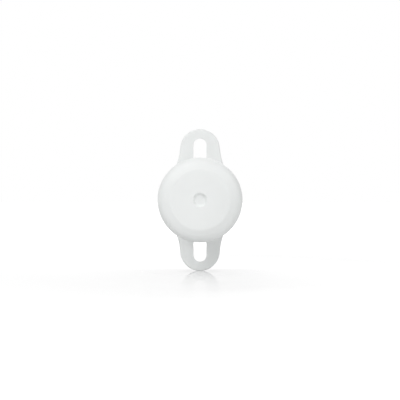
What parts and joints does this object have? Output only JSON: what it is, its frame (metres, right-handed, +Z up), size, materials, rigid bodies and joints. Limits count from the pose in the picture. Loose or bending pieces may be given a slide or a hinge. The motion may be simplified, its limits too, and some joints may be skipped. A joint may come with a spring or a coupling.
{
  "type": "recessed entry sensor",
  "caption": "Recessed door sensor: a closed barrel with a slotted-ear flange, and a sealed cover whose core, with board, reed switch and cell, draws out.",
  "frame": {"origin": "centre of the flange's seating face, on the barrel's axis", "axes": "+Z up along the ears, +Y out of the door frame through the cover, -Y down the barrel to its closed end"},
  "size_m": [0.0224, 0.0626, 0.0418],
  "materials": {
    "housing_white": "satin",
    "cover_white": "satin",
    "seal_rubber": "matte",
    "screw_steel": "zinc plated",
    "clear_plastic": "clear",
    "tray_plastic": "fine texture",
    "board_laminate": "solder mask",
    "reed_tube": "clear",
    "lead_metal": "tinned",
    "blade_metal": "plain",
    "antenna_wire": "enamelled copper",
    "chip_resin": "matte",
    "crystal_can": "satin",
    "chip_ceramic": "matte",
    "led_body": "gloss",
    "switch_black": "matte",
    "switch_steel": "brushed",
    "button_black": "satin",
    "plunger_white": "gloss",
    "cell_can": "nickel plated",
    "cell_wrap": "shrunk film",
    "contact_nickel": "nickel plated"
  },
  "bodies": {
    "housing": {"barrel_housing": "housing_white"},
    "core": {"front_cover": "cover_white", "cover_seal": "seal_rubber", "cover_screws": "screw_steel", "light_pipe": "clear_plastic", "carrier_tray": "tray_plastic", "circuit_board": "board_laminate", "reed_glass": "reed_tube", "reed_leads": "lead_metal", "antenna_coil": "antenna_wire", "radio_chip": "chip_resin", "crystal": "crystal_can", "voltage_regulator": "chip_resin", "chip_parts": "chip_ceramic", "status_led": "led_body", "learn_switch_base": "switch_black", "learn_switch_plate": "switch_steel", "tamper_switch_base": "switch_black", "battery_cell": "cell_can", "battery_wrap": "cell_wrap", "battery_spring": "contact_nickel", "positive_contact": "contact_nickel", "negative_contact": "contact_nickel"},
    "learn_button_body": {"learn_button": "button_black"},
    "tamper_plunger_body": {"tamper_plunger": "plunger_white"},
    "front_blade_body": {"reed_blade_front": "blade_metal"},
    "rear_blade_body": {"reed_blade_rear": "blade_metal"}
  },
  "joints": [
    {"name": "core_slide", "type": "slide", "parent": "housing", "child": "core", "axis": [0, 1, 0], "range_m": [0, 0.062]},
    {"name": "learn_press", "type": "slide", "parent": "core", "child": "learn_button_body", "axis": [0, 0, -1], "range_m": [0, 0.00025], "stiffness_N_per_m": 3000},
    {"name": "tamper_press", "type": "slide", "parent": "core", "child": "tamper_plunger_body", "axis": [-1, 0, 0], "range_m": [0, 0.0002], "stiffness_N_per_m": 1000, "springref_m": -0.0004},
    {"name": "front_blade_bend", "type": "hinge", "parent": "core", "child": "front_blade_body", "pos_m": [-0.005, -0.01034, 0.00045], "axis": [1, 0, 0], "range_deg": [0, 1.05], "stiffness_Nm_per_rad": 0.00005},
    {"name": "rear_blade_bend", "type": "hinge", "parent": "core", "child": "rear_blade_body", "pos_m": [-0.005, -0.01846, 0.00015], "axis": [1, 0, 0], "range_deg": [0, 1.05], "stiffness_Nm_per_rad": 0.00005}
  ],
  "couplings": [
    {"joint": "rear_blade_bend", "follows": "front_blade_bend", "ratio": 1}
  ]
}
